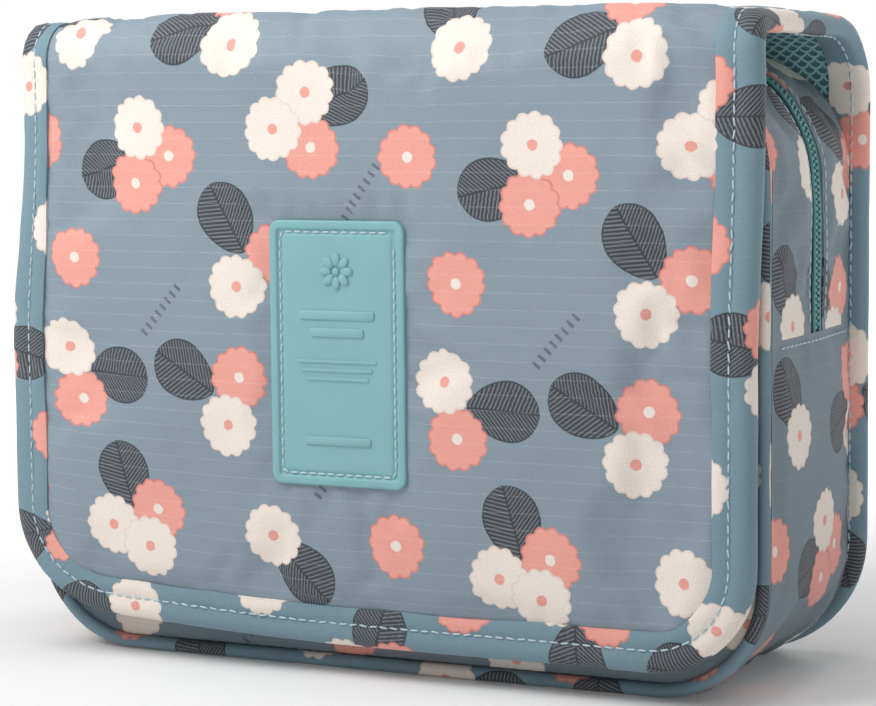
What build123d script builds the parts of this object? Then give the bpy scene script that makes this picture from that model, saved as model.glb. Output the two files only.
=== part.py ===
from build123d import *
import os

# A soft toiletry bag that unfolds and hangs. One padded sheet makes the back, the top and the front
# cover. A gusseted body with a zip over its top is sewn to the back. The front looks along -Y, +X is
# to the right of somebody facing it, and it stands on z = 0. All lengths are in millimetres.

# Overall size
bag_depth = 90.0
bag_height = 190.0
back_width = 246.0
spine_rear_width = 242.0
cover_width = 234.0
cover_low_z = 9.0

# The padded sheet and the tape that binds its edge
shell_t = 1.2
foam_t = 2.2
lining_t = 0.6
sheet_t = shell_t + foam_t + lining_t
binding_proud = 0.6
binding_t = sheet_t + 2 * binding_proud
binding_w = 11.0
fold_r = 6.0
fold_gap = 0.3
back_corner_r = 36.0
cover_corner_r = 30.0

# The rubber patch on the cover
label_w = 43.0
label_h = 76.0
label_t = 1.8
label_rim_t = 0.4
label_rim_w = 1.6
label_corner_r = 5.0
label_mid_x = -6.0
label_mid_z = 94.0

# The gusseted body behind the cover
body_width = 236.0
body_top_z = 177.0
body_corner_r = 33.0
gusset_t = 2.4
piping_d = 4.0
body_front_y = -30.0
face_t = 3.0
split_z = 100.0
split_gap = 0.15
board_t = 1.6

# The zip that runs up both sides and over the top
zip_y = 5.0
zip_half_w = 6.0
coil_in = 0.8
coil_out = 2.6
tape_t = 1.0
tape_sunk = 0.6
coil_t = 2.0
coil_sunk = 0.2

# The main slider, which waits at the left end of the zip, and its pull
slider_mid_z = 109.0
slider_h = 11.0
slider_w = 8.0
plate_t = 1.2
plate_gap = 0.4
inner_gap = 1.2
web_w = 1.0
web_h = 2.5
bail_out = 3.4
bail_bar_r = 0.6
bail_z_up = 1.5
ear_t = 1.0
ear_in = 1.9
pull_fit = 0.05
pull_loop_r = 1.4
pull_loop_w = 3.2
pull_t = 1.2
pull_w = 7.0
pull_len = 25.0

# The zipped mesh pocket inside the cover
pocket_w = 200.0
pocket_low_z = 38.0
pocket_high_z = 126.0
pocket_corner_r = 12.0
pocket_border_w = 6.0
pocket_border_t = 1.2
mesh_t = 0.5
pocket_tape_h = 14.0
pocket_tape_t = 0.6
pocket_coil_h = 2.8
pocket_coil_t = 1.0
pocket_coil_gap = 0.4
pocket_slider_len = 9.0
pocket_slider_start_x = -78.0
pocket_flange_t = 1.3
pocket_post_r = 0.8
pocket_pull_t = 0.9
pocket_pull_w = 6.0
pocket_pull_len = 18.0

# The hook that hangs the bag up, on its tab at the cover's free edge
hook_pivot_z = 28.0
hook_front_y = -36.9
hook_t = 3.2
hook_shank_w = 6.0
hook_bow_r = 12.0
hook_bow_rise = 50.0
hook_eye_r = 6.0
pin_r = 2.0
pin_fit = 0.05
pin_head_r = 4.0
pin_head_t = 0.8
tab_w = 22.0
tab_high_z = 37.0

# Hook-and-loop strips and the slip pocket inside
strip_w = 26.0
strip_h = 14.0
strip_t = 1.2
strip_x = 74.0
strip_z = 28.0
slip_low_z = 14.0
slip_high_z = 118.0
slip_w = 190.0
slip_t = 0.5
elastic_h = 10.0
elastic_t = 1.2

# Places that follow from the sizes above
cover_front_y = -bag_depth / 2 + label_t
cover_back_y = cover_front_y + sheet_t
back_outer_y = bag_depth / 2 - binding_proud
back_inner_y = back_outer_y - sheet_t
spine_top_z = bag_height - binding_proud
spine_low_z = spine_top_z - sheet_t
fold_z = spine_top_z - fold_r
rear_fold_y = back_outer_y - fold_r
front_fold_y = cover_front_y + fold_r
sheet_end = fold_r + fold_gap
face_back_y = body_front_y + piping_d / 2
face_front_y = face_back_y - face_t
side_x = body_width / 2
far = 400.0


def outline(width, low, high, low_r, high_r):
    """A flat upright outline, rounded at its bottom corners and, with high_r, at its top ones."""
    face = Pos(0, (low + high) / 2) * Rectangle(width, high - low)
    face = fillet(face.vertices().group_by(Axis.Y)[0], low_r)
    if high_r > 0:
        face = fillet(face.vertices().group_by(Axis.Y)[-1], high_r)
    return face


def slab(face, front, back):
    """The upright outline made solid from front to back along Y."""
    return Pos(0, back, 0) * extrude(Plane.XZ * face, back - front)


def block(x, y, z):
    """A plain box between two values on each axis."""
    size = Box(x[1] - x[0], y[1] - y[0], z[1] - z[0])
    return Pos((x[0] + x[1]) / 2, (y[0] + y[1]) / 2, (z[0] + z[1]) / 2) * size


def below(shape, z):
    """What lies under a height."""
    return shape & block((-far, far), (-far, far), (z - far, z))


def above(shape, z):
    """What lies over a height."""
    return shape & block((-far, far), (-far, far), (z, z + far))


def body_outline(inset):
    """The body's rounded outline, moved inwards all round."""
    corner_r = body_corner_r - inset
    return outline(body_width - 2 * inset, inset, body_top_z - inset, corner_r, corner_r)


def body_ring(inset, thickness, front, back):
    """A band that follows the body's outline."""
    return slab(body_outline(inset) - body_outline(inset + thickness), front, back)


def bar_along_y(radius, x, z, front, back):
    """A round bar parallel to Y."""
    return Pos(x, (front + back) / 2, z) * Rot(90, 0, 0) * Cylinder(radius, back - front)


def bar_along_x(radius, length, y, z):
    """A round bar parallel to X, centred on x = 0."""
    return Pos(0, y, z) * Rot(0, 90, 0) * Cylinder(radius, length)


def save(name, shape):
    """Writes one sub-part."""
    shape.label = name
    export_step(shape, "parts/" + name + ".step")


def back_sheet():
    """The padded back: shell, foam and the tape round its free edges."""
    top = fold_z - sheet_end
    whole = outline(back_width, 0, top, back_corner_r, 0)
    inner_w = back_width - 2 * binding_w
    inner = outline(inner_w, binding_w, top, back_corner_r - binding_w, 0)
    save("back_panel", slab(inner, back_outer_y - shell_t, back_outer_y))
    save("back_foam", slab(inner, back_inner_y, back_outer_y - shell_t))
    tape = slab(whole - inner, back_inner_y, back_outer_y + binding_proud)
    save("back_binding", tape)
    save("rear_fold_roll", bar_along_x(fold_r, spine_rear_width, rear_fold_y, fold_z))


def spine_plan(front_w, rear_w):
    """The top panel seen from above, narrower at the front."""
    front = front_fold_y + sheet_end
    rear = rear_fold_y - sheet_end
    corners = [(-rear_w / 2, rear), (-front_w / 2, front), (front_w / 2, front), (rear_w / 2, rear)]
    return make_face(Polyline(*corners, close=True))


def spine_sheet():
    """The padded top between the two folds, and the front fold that it carries."""
    whole = spine_plan(cover_width, spine_rear_width)
    inner = spine_plan(cover_width - 2 * binding_w, spine_rear_width - 2 * binding_w)
    shell_low = spine_top_z - shell_t
    save("spine_panel", Pos(0, 0, shell_low) * extrude(inner, shell_t))
    save("spine_foam", Pos(0, 0, shell_low - foam_t) * extrude(inner, foam_t))
    save("spine_lining", Pos(0, 0, spine_low_z) * extrude(inner, lining_t))
    tape = Pos(0, 0, spine_low_z - binding_proud) * extrude(whole - inner, binding_t)
    save("spine_binding", tape)
    save("front_fold_roll", bar_along_x(fold_r, cover_width, front_fold_y, fold_z))


def cover_sheet():
    """The padded front cover: shell, foam, lining and the tape round its free edges."""
    top = fold_z - sheet_end
    whole = outline(cover_width, cover_low_z, top, cover_corner_r, 0)
    inner_w = cover_width - 2 * binding_w
    inner = outline(inner_w, cover_low_z + binding_w, top, cover_corner_r - binding_w, 0)
    shell_back = cover_front_y + shell_t
    save("cover_panel", slab(inner, cover_front_y, shell_back))
    save("cover_foam", slab(inner, shell_back, shell_back + foam_t))
    save("cover_lining", slab(inner, shell_back + foam_t, cover_back_y))
    tape = slab(whole - inner, cover_front_y - binding_proud, cover_back_y + binding_proud)
    save("cover_binding", tape)


def label_patch():
    """The moulded rubber patch with its raised rim."""
    face = Pos(label_mid_x, label_mid_z) * RectangleRounded(label_w, label_h, label_corner_r)
    inner_w = label_w - 2 * label_rim_w
    inner_h = label_h - 2 * label_rim_w
    inner = Pos(label_mid_x, label_mid_z) * RectangleRounded(inner_w, inner_h, label_corner_r - label_rim_w)
    base = slab(face, cover_front_y - label_t + label_rim_t, cover_front_y)
    rim = slab(face - inner, cover_front_y - label_t, cover_front_y)
    save("label_patch", base + rim)


def piping(height):
    """The covered cord round half of the body's front edge, from the split to the given height."""
    reach = side_x - piping_d / 2
    start = split_z - split_gap if height < split_z else split_z + split_gap
    corners = [(-reach, start), (-reach, height), (reach, height), (reach, start)]
    points = [(x, body_front_y, z) for x, z in corners]
    path = FilletPolyline(*points, radius=body_corner_r - piping_d / 2)
    section = Plane(origin=points[0], z_dir=path % 0) * Circle(piping_d / 2)
    return sweep(section, path)


def body_shell():
    """The part of the body that stays with the back."""
    low_cut = split_z - split_gap
    high_cut = split_z + split_gap
    save("lower_gusset", below(body_ring(0, gusset_t, face_back_y, back_inner_y), low_cut))
    rear_front_y = zip_y + zip_half_w
    save("rear_upper_gusset", above(body_ring(0, gusset_t, rear_front_y, back_inner_y), low_cut))
    face = slab(body_outline(piping_d), face_front_y, face_back_y)
    save("front_lower_panel", below(face, low_cut))
    save("lower_piping", piping(piping_d / 2))
    save("rear_zip_tape", above(zip_tape(zip_y + coil_out, rear_front_y), high_cut))
    save("rear_zip_coil", above(zip_coil(zip_y + coil_in, zip_y + coil_out), high_cut))


def zip_tape(front, back):
    """A band of zip tape, a little below the gusset's outer face."""
    return body_ring(tape_sunk, tape_t, front, back)


def zip_coil(front, back):
    """A band that holds one row of the zip's coil."""
    return body_ring(coil_sunk, coil_t, front, back)


def lid_shell():
    """The upper half of the front with its half of the gusset, which tips forward."""
    cut = split_z + split_gap
    front_back_y = zip_y - zip_half_w
    save("lid_gusset", above(body_ring(0, gusset_t, face_back_y, front_back_y), cut))
    face = slab(body_outline(piping_d), face_front_y, face_back_y)
    save("lid_front_panel", above(face, cut))
    save("lid_piping", piping(body_top_z - piping_d / 2))
    save("lid_zip_tape", above(zip_tape(front_back_y, zip_y - coil_out), cut))
    save("lid_zip_coil", above(zip_coil(zip_y - coil_out, zip_y - coil_in), cut))


def lining_outline(inset):
    """The lining's outline, which passes over the base board."""
    width = body_width - 2 * (gusset_t + inset)
    corner_r = body_corner_r - gusset_t - inset
    top = body_top_z - gusset_t - inset
    return outline(width, gusset_t + board_t + inset, top, corner_r, corner_r)


def linings():
    """The thin lining of the body and of its lid, and the board under it."""
    whole = lining_outline(0)
    ring = whole - lining_outline(lining_t)
    low_cut = split_z - split_gap
    tub = below(slab(ring, face_back_y, back_inner_y), low_cut)
    arch = above(slab(ring, zip_y + zip_half_w, back_inner_y), low_cut)
    back = slab(whole, back_inner_y - lining_t, back_inner_y)
    front = slab(whole, face_back_y, face_back_y + lining_t)
    save("body_lining", tub + arch + back + below(front, low_cut))
    cut = split_z + split_gap
    lid_arch = above(slab(ring, face_back_y, zip_y - zip_half_w), cut)
    save("lid_lining", lid_arch + above(front, cut))
    reach = side_x - body_corner_r
    depth = (face_back_y + lining_t, back_inner_y - lining_t)
    save("base_board", block((-reach, reach), depth, (gusset_t, gusset_t + board_t)))


def inside_pocket():
    """A flat slip pocket on the back wall, with elastic in its mouth."""
    wall_y = back_inner_y - lining_t
    half = slip_w / 2
    save("slip_pocket", block((-half, half), (wall_y - slip_t, wall_y), (slip_low_z, slip_high_z)))
    band = (slip_high_z, slip_high_z + elastic_h)
    save("slip_pocket_elastic", block((-half, half), (wall_y - elastic_t, wall_y), band))


def zip_end_tabs():
    """The small fabric tabs over the two ends of the main zip."""
    tabs = []
    for side in (-1, 1):
        x = sorted((side * side_x, side * (side_x + board_t / 2)))
        z = (split_z - zip_half_w, split_z - split_gap)
        tabs.append(block(x, (zip_y - zip_half_w, zip_y + zip_half_w), z))
    save("zip_end_tabs", Compound(children=tabs))


def main_slider():
    """Two plates joined by a web between the coils, with a bail for the pull."""
    y = (zip_y - slider_w / 2, zip_y + slider_w / 2)
    z = (slider_mid_z - slider_h / 2, slider_mid_z + slider_h / 2)
    outer_x = -side_x - plate_gap
    inner_x = -side_x + gusset_t + inner_gap
    outer = block((outer_x - plate_t, outer_x), y, z)
    inner = block((inner_x, inner_x + plate_t), y, z)
    outer = fillet(outer.edges().filter_by(Axis.X), slider_w / 4)
    inner = fillet(inner.edges().filter_by(Axis.X), slider_w / 4)
    web_y = (zip_y - web_w / 2, zip_y + web_w / 2)
    web = block((outer_x, inner_x), web_y, (z[1] - web_h, z[1]))
    bail_x = -side_x - bail_out
    bail_z = slider_mid_z + bail_z_up
    body = outer + inner + web
    for side in (-1, 1):
        ear_y = sorted((zip_y + side * ear_in, zip_y + side * (ear_in + ear_t)))
        ear_z = (bail_z - pull_loop_r, bail_z + pull_loop_r)
        body += block((bail_x - bail_bar_r, outer_x - plate_t), ear_y, ear_z)
    bar = bar_along_y(bail_bar_r, bail_x, bail_z, zip_y - ear_in, zip_y + ear_in)
    save("main_zip_slider", body + bar)


def main_pull():
    """The pull that hangs from the main slider's bail."""
    bail_x = -side_x - bail_out
    bail_z = slider_mid_z + bail_z_up
    half = pull_loop_w / 2
    loop = bar_along_y(pull_loop_r, bail_x, bail_z, zip_y - half, zip_y + half)
    neck_z = (bail_z - 2 * pull_loop_r, bail_z)
    thick = (bail_x - pull_t / 2, bail_x + pull_t / 2)
    neck = block(thick, (zip_y - half, zip_y + half), neck_z)
    blade_z = (bail_z - pull_len, bail_z - 2 * pull_loop_r)
    blade = block(thick, (zip_y - pull_w / 2, zip_y + pull_w / 2), blade_z)
    blade = fillet(blade.edges().filter_by(Axis.X), pull_w / 4)
    hole = bar_along_y(bail_bar_r + pull_fit, bail_x, bail_z, zip_y - pull_w, zip_y + pull_w)
    save("main_zip_pull", loop + neck + blade - hole)


def cover_pocket():
    """The mesh pocket on the cover's inside, with its zip along the top."""
    whole = outline(pocket_w, pocket_low_z, pocket_high_z, pocket_corner_r, 0)
    inner_w = pocket_w - 2 * pocket_border_w
    low = pocket_low_z + pocket_border_w
    inner = outline(inner_w, low, pocket_high_z, pocket_corner_r - pocket_border_w, 0)
    save("pocket_border", slab(whole - inner, cover_back_y, cover_back_y + pocket_border_t))
    mesh_back = cover_back_y + pocket_border_t
    save("pocket_mesh", slab(inner, mesh_back - mesh_t, mesh_back))
    half = pocket_w / 2
    tape_z = (pocket_high_z, pocket_high_z + pocket_tape_h)
    tape_back = cover_back_y + pocket_tape_t
    save("pocket_zip_tape", block((-half, half), (cover_back_y, tape_back), tape_z))
    reach = half - pocket_border_w
    mid = pocket_zip_z()
    coil_z = (mid - pocket_coil_h / 2, mid + pocket_coil_h / 2)
    save("pocket_zip_coil", block((-reach, reach), (tape_back, tape_back + pocket_coil_t), coil_z))


def pocket_zip_z():
    """The height of the pocket's zip."""
    return pocket_high_z + pocket_tape_h / 2


def pocket_slider():
    """A channel over the coil with a short post for the ribbon pull."""
    mid_z = pocket_zip_z()
    x = (pocket_slider_start_x - pocket_slider_len / 2, pocket_slider_start_x + pocket_slider_len / 2)
    tape_back = cover_back_y + pocket_tape_t
    coil_back = tape_back + pocket_coil_t
    plate_y = (coil_back + pocket_coil_gap, coil_back + pocket_coil_gap + plate_t)
    inside = pocket_coil_h / 2 + pocket_coil_gap
    outside = inside + pocket_flange_t
    body = block(x, plate_y, (mid_z - outside, mid_z + outside))
    for side in (-1, 1):
        flange_z = sorted((mid_z + side * inside, mid_z + side * outside))
        body += block(x, (tape_back + fold_gap, plate_y[1]), flange_z)
    post_y = (plate_y[1], plate_y[1] + pocket_pull_t + 2 * fold_gap)
    body += bar_along_y(pocket_post_r, pocket_slider_start_x, mid_z, *post_y)
    head_y = (post_y[1], post_y[1] + plate_t / 2)
    body += bar_along_y(2 * pocket_post_r, pocket_slider_start_x, mid_z, *head_y)
    save("pocket_zip_slider", body)
    front = post_y[0] + fold_gap
    low = mid_z - pocket_pull_len
    half = pocket_pull_w / 2
    ribbon = Pos(pocket_slider_start_x, (low + mid_z + half) / 2) * RectangleRounded(
        pocket_pull_w, pocket_pull_len + half, half * 0.9)
    hole = bar_along_y(pocket_post_r + pull_fit, pocket_slider_start_x, mid_z, front - 1, front + 2)
    save("pocket_zip_pull", slab(ribbon, front, front + pocket_pull_t) - hole)


def hook_mount():
    """The webbing tab at the cover's free edge and the pin that the hook turns on."""
    half = tab_w / 2
    tab_low_z = cover_low_z + binding_w
    tab_back = hook_front_y - fold_gap
    save("hook_tab", block((-half, half), (cover_back_y, tab_back), (tab_low_z, tab_high_z)))
    shaft_back = hook_front_y + hook_t + fold_gap
    shaft = bar_along_y(pin_r, 0, hook_pivot_z, tab_back, shaft_back)
    head = bar_along_y(pin_head_r, 0, hook_pivot_z, shaft_back, shaft_back + pin_head_t)
    save("hook_pin", shaft + head)


def hanging_hook():
    """A flat hook: an eye, a shank and a bow that is open at its lower left."""
    bow_z = hook_pivot_z + hook_bow_rise
    outer_r = hook_bow_r + hook_shank_w
    bow = Pos(0, bow_z) * (Circle(outer_r) - Circle(hook_bow_r))
    mouth_w = outer_r - hook_shank_w / 2
    bow -= Pos(-mouth_w / 2 - hook_shank_w / 2, bow_z - outer_r / 2) * Rectangle(mouth_w, outer_r)
    tip_x = -hook_bow_r - hook_shank_w / 2
    tip = Pos(tip_x, bow_z) * Circle(hook_shank_w / 2)
    shank_top = bow_z - hook_bow_r - hook_shank_w / 2
    shank_mid = (hook_pivot_z + shank_top) / 2
    shank = Pos(0, shank_mid) * Rectangle(hook_shank_w, shank_top - hook_pivot_z)
    eye = Pos(0, hook_pivot_z) * Circle(hook_eye_r)
    face = bow + tip + shank + eye - Pos(0, hook_pivot_z) * Circle(pin_r + pin_fit)
    save("hanging_hook", slab(face, hook_front_y, hook_front_y + hook_t))


def closure_strips():
    """The pairs of hook-and-loop strips low on the cover and on the body's front."""
    cover_strips = []
    body_strips = []
    z = (strip_z - strip_h / 2, strip_z + strip_h / 2)
    for side in (-1, 1):
        x = (side * strip_x - strip_w / 2, side * strip_x + strip_w / 2)
        cover_strips.append(block(x, (cover_back_y, cover_back_y + strip_t), z))
        body_strips.append(block(x, (face_front_y - strip_t, face_front_y), z))
    save("closure_hook_strips", Compound(children=cover_strips))
    save("closure_loop_strips", Compound(children=body_strips))


os.makedirs("parts", exist_ok=True)
back_sheet()
spine_sheet()
cover_sheet()
label_patch()
body_shell()
lid_shell()
linings()
inside_pocket()
zip_end_tabs()
main_slider()
main_pull()
cover_pocket()
pocket_slider()
hook_mount()
hanging_hook()
closure_strips()
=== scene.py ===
import bpy
import bmesh
import math
from mathutils import Matrix, Vector, noise


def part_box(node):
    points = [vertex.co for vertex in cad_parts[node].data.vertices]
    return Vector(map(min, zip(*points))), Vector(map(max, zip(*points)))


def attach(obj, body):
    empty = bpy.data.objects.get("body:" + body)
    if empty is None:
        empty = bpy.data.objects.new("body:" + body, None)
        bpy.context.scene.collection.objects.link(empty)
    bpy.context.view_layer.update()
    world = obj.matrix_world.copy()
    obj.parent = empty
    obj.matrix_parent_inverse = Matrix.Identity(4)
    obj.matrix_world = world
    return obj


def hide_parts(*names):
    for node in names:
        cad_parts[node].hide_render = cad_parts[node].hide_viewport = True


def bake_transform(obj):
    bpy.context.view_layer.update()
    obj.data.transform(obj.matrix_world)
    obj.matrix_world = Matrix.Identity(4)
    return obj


# A hanging toiletry bag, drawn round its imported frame. Lengths are in millimetres until a point
# becomes a vertex; the front looks along -Y.

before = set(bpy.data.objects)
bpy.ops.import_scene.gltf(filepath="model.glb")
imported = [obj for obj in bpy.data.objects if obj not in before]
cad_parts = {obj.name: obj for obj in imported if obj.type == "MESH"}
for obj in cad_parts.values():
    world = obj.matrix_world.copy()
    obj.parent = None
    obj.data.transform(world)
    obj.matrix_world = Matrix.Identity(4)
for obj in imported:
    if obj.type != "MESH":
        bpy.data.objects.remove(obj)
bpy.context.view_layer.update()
MM = 0.001
SKY_LIGHT = 0.27


def corners(node):
    """A node's lowest and highest corner in millimetres."""
    low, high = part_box(node)
    return [v / MM for v in low], [v / MM for v in high]


# Sizes taken from the frame
cover_low, cover_high = corners("cover_binding")
back_high = corners("back_binding")[1]
body_high = corners("lower_gusset")[1]
pipe_low, pipe_high = corners("lower_piping")
label_low, label_high = corners("label_patch")
sheet_mid_n = (cover_high[1] - cover_low[1]) / 2
cover_y = (cover_low[1] + cover_high[1]) / 2
back_y = back_high[1] - sheet_mid_n
cover_half = cover_high[0]
back_half = back_high[0]
cover_edge_z = cover_low[2]
body_half = body_high[0]
body_top = corners("lid_gusset")[1][2]
split_z = body_high[2]
seam_y = body_high[1]
pipe_r = (pipe_high[1] - pipe_low[1]) / 2
pipe_y = (pipe_low[1] + pipe_high[1]) / 2 - 1.5
zip_y = corners("rear_zip_coil")[0][1] - 0.8

# The padded sheet's own shape
BIND_W = 11.5
COVER_CORNER = 30.0
BACK_CORNER = 36.0
FRONT_FOLD = 10.0
REAR_FOLD = 19.0
FLAT_TOP = corners("spine_binding")[1][2] - sheet_mid_n - 0.2
BODY_CORNER = 33.0
GUSSET_T = 1.8
LINING_T = 0.5
LINING_INSET = 4.0
STITCH_INSET = 6.6
STITCH_PITCH = 3.3
STITCH_LIFT = 0.3
ZIP_OPEN = 5.4
CLOTH_FRAMES = 16
SHEET_GRID = (96, 84)
FACE_COLUMNS = 56
PANEL_INSET = BIND_W - 2.5

# Lengths along the sheet, from the cover's free edge over the top to the back's foot
run_cover = FLAT_TOP - FRONT_FOLD - cover_edge_z
run_fold = run_cover + FRONT_FOLD * math.pi / 2
run_top = run_fold + (back_y - REAR_FOLD) - (cover_y + FRONT_FOLD)
run_rear = run_top + REAR_FOLD * math.pi / 2
run_all = run_rear + FLAT_TOP - REAR_FOLD
run_split = (run_fold + run_top) / 2

# Colours as scene-linear values
def srgb(r, g, b):
    """A colour given in screen values from 0 to 255."""
    parts = [c / 255 for c in (r, g, b)]
    linear = [c / 12.92 if c <= 0.04045 else ((c + 0.055) / 1.055) ** 2.4 for c in parts]
    return (*linear, 1.0)


CLOTH = srgb(124, 142, 154)
CLOTH_TEAL = srgb(104, 136, 149)
LINING = srgb(72, 118, 126)
CREAM = srgb(234, 223, 212)
CREAM_EDGE = srgb(226, 208, 196)
PINK = srgb(232, 154, 140)
PINK_EDGE = srgb(206, 122, 112)
LEAF = srgb(98, 106, 116)
LEAF_LINE = srgb(12, 16, 24)
THREAD = srgb(178, 198, 208)
RUBBER = srgb(124, 174, 180)
ZIP_TEAL = srgb(44, 78, 86)
COIL_TEAL = srgb(88, 146, 150)

# The print's repeat. A posy has its flowers round its middle and a leaf that points away from it.
TILE_W = 126.0
TILE_H = 190.0
TILE_SLANT = 5.0 / TILE_W
PRINT_SHIFT = 1.8
FLOWER_REACH = 8.5
LEAF_REACH = 14.0
SCALLOPS = 13
PETAL_R = 8.35
DOT_R = 1.55
LEAF_HALF = 11.0
HATCH_PITCH = 1.22
TICK_ROW_HALF = 10.5
TICK_HALF = 1.3
TICK_PITCH = 2.6
RIPSTOP_PITCH = 4.7
SCALE_W = 4.0
SCALE_H = 2.1
# Each posy's middle, set on a 5 mm grid, then the directions in degrees of its cream
# flowers, its pink flowers and its leaf. A lone flower sits in the middle.
POSIES = [
    (30, 180, [0], [], 120),
    (80, 185, [285], [105], 200),
    (-20, 160, [75, 195], [300], 30),
    (15, 150, [], [0], None),
    (55, 145, [105], [0, 250], 195),
    (90, 115, [240], [15], 120),
    (30, 115, [], [0], None),
    (30, 80, [120], [270], 0),
    (80, 75, [285], [45], 150),
    (10, 40, [], [0], None),
    (50, 35, [195, 300], [30], 105),
    (-30, 40, [0], [], 315)]
# Rows of small dashes between the posies: middle and slant
TICKS_AT = [(0, 140, 55), (60, 100, 50), (-10, 60, 55)]


def beside(x, z, degrees, reach):
    """The place at a direction and distance from (x, z)."""
    return x + reach * math.cos(math.radians(degrees)), z + reach * math.sin(math.radians(degrees))


def posy_motifs():
    """Places of the cream flowers, the pink flowers and the leaves, leaves with their direction."""
    creams, pinks, leaves = [], [], []
    for x, z, cream_ways, pink_ways, leaf_way in POSIES:
        alone = len(cream_ways) + len(pink_ways) == 1
        reach = 0.0 if alone else FLOWER_REACH
        creams += [beside(x, z, way, reach) for way in cream_ways]
        pinks += [beside(x, z, way, reach) for way in pink_ways]
        if leaf_way is not None:
            leaves.append((*beside(x, z, leaf_way, LEAF_REACH), leaf_way))
    return creams, pinks, leaves


def smooth(value, low, high):
    """0 below low, 1 above high, and a soft step between."""
    t = min(max((value - low) / (high - low), 0.0), 1.0)
    return t * t * (3 - 2 * t)


def ripple(x, y, z, size):
    """Soft noise about -1 to 1 with features of that size."""
    return noise.noise(Vector((x / size, y / size, z / size)))


# ---------------------------------------------------------------- mesh building

class Build:
    """Collects vertices, faces, print coordinates and material numbers for one piece."""

    def __init__(self):
        self.verts = []
        self.faces = []
        self.prints = []
        self.slots = []

    def vert(self, point, print_at=(0.0, 0.0)):
        self.verts.append((point[0] * MM, point[1] * MM, point[2] * MM))
        self.prints.append((print_at[0] * MM, print_at[1] * MM))
        return len(self.verts) - 1

    def face(self, loop, slot=0):
        self.faces.append(loop)
        self.slots.append(slot)

    def rows(self, points, prints=None, slot=0, closed=False):
        """A grid of points joined by quads; closed joins each row's end to its start."""
        grid = []
        for i, row in enumerate(points):
            marks = prints[i] if prints else [(0.0, 0.0)] * len(row)
            grid.append([self.vert(p, m) for p, m in zip(row, marks)])
        for a, b in zip(grid, grid[1:]):
            count = len(a)
            for j in range(count if closed else count - 1):
                k = (j + 1) % count
                self.face((a[j], a[k], b[k], b[j]), slot)
        return grid

    def cap(self, ring, slot=0):
        self.face(tuple(ring), slot)

    def rim(self, top, under, slot=0):
        """Closes the gap between the borders of two grids of the same size."""
        def border(g):
            right = [row[-1] for row in g[1:]]
            left = [row[0] for row in g[-2:0:-1]]
            return g[0] + right + g[-1][-2::-1] + left
        a, b = border(top), border(under)
        for i in range(len(a)):
            k = (i + 1) % len(a)
            self.face((a[i], a[k], b[k], b[i]), slot)

    def shell(self, outer, inner, prints, slots=(0, 0, 0)):
        """A closed thin piece between two grids: outer face, inner face and rim."""
        top = self.rows(outer, prints, slots[0])
        under = self.rows(inner, prints, slots[1])
        self.rim(top, under, slots[2])

    def layers(self, rows_count, columns, place, slots=(0, 0, 0)):
        """A shell from place(i, j), which gives the outer point, the inner point and the print mark."""
        outer, inner, marks = [], [], []
        for i in range(rows_count + 1):
            over, under, row = zip(*(place(i, j) for j in range(columns + 1)))
            outer.append(list(over))
            inner.append(list(under))
            marks.append(list(row))
        self.shell(outer, inner, marks, slots)

    def sweep(self, rings, prints=None, slot=0):
        """A closed tube through rings of points, capped at both ends."""
        grid = self.rows(rings, prints, slot, closed=True)
        self.cap(grid[0], slot)
        self.cap(grid[-1][::-1], slot)

    def rod(self, a, b, side, up, radius, slot=0):
        """A short round rod with tapered ends, from a to b."""
        a, b, side, up = Vector(a), Vector(b), Vector(side), Vector(up)
        rings = []
        for t, r in ((0.0, 0.35), (0.18, 0.95), (0.82, 0.95), (1.0, 0.35)):
            mid = a.lerp(b, t)
            ring = []
            for k in range(6):
                angle = k * math.pi / 3
                ring.append(mid + (side * math.cos(angle) + up * math.sin(angle)) * radius * r)
            rings.append(ring)
        self.sweep(rings, None, slot)

    def make(self, name, materials):
        """The finished object with its print map, smooth shading and outward faces."""
        mesh = bpy.data.meshes.new(name)
        mesh.from_pydata(self.verts, [], self.faces)
        for material in materials:
            mesh.materials.append(material)
        layer = mesh.uv_layers.new(name="print")
        for poly, slot in zip(mesh.polygons, self.slots):
            poly.material_index = slot
            poly.use_smooth = True
            for loop in poly.loop_indices:
                layer.data[loop].uv = self.prints[mesh.loops[loop].vertex_index]
        net = bmesh.new()
        net.from_mesh(mesh)
        bmesh.ops.recalc_face_normals(net, faces=net.faces)
        net.to_mesh(mesh)
        net.free()
        mesh.set_sharp_from_angle(angle=math.radians(66))
        piece = bpy.data.objects.new(name, mesh)
        bpy.context.scene.collection.objects.link(piece)
        return piece


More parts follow.
